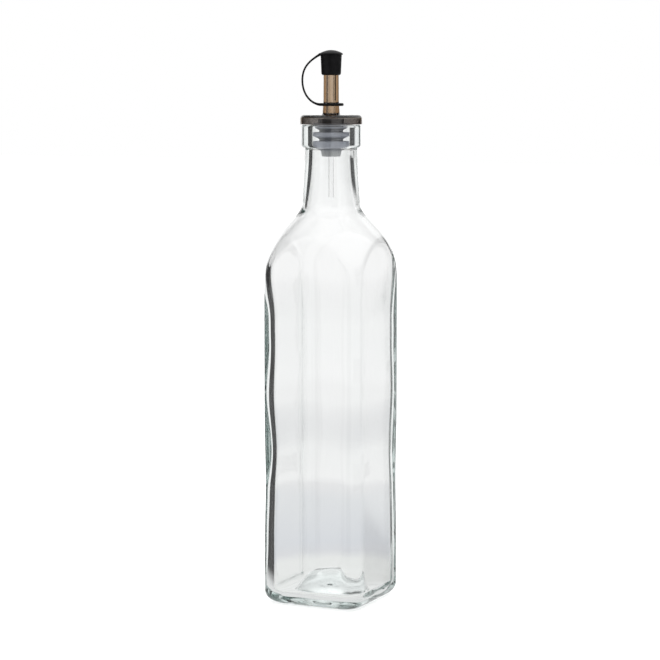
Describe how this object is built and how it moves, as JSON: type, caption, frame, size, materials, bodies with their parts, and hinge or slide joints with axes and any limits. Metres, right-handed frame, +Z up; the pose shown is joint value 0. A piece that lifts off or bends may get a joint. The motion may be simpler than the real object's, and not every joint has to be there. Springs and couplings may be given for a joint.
{
  "type": "oil and vinegar cruet",
  "caption": "Square clear-glass bottle with a domed shoulder, round neck and raised lip, closed by a smoke-tinted pourer with a strapped black cap.",
  "frame": {"origin": "centre of the base, on the bottle's axis, at the plane that it stands on", "axes": "+Z up along the bottle's axis, X and Y square to the bottle's flat faces"},
  "size_m": [0.057, 0.057, 0.2945],
  "materials": {
    "clear_glass": "polished",
    "frosted_plastic": "translucent satin",
    "smoked_plastic": "polished, see-through",
    "clear_plastic": "see-through",
    "black_rubber": "satin"
  },
  "bodies": {
    "root": {"bottle": "clear_glass", "stopper": "frosted_plastic", "spout": "smoked_plastic", "air_tube": "clear_plastic", "cap": "black_rubber"}
  },
  "joints": []
}
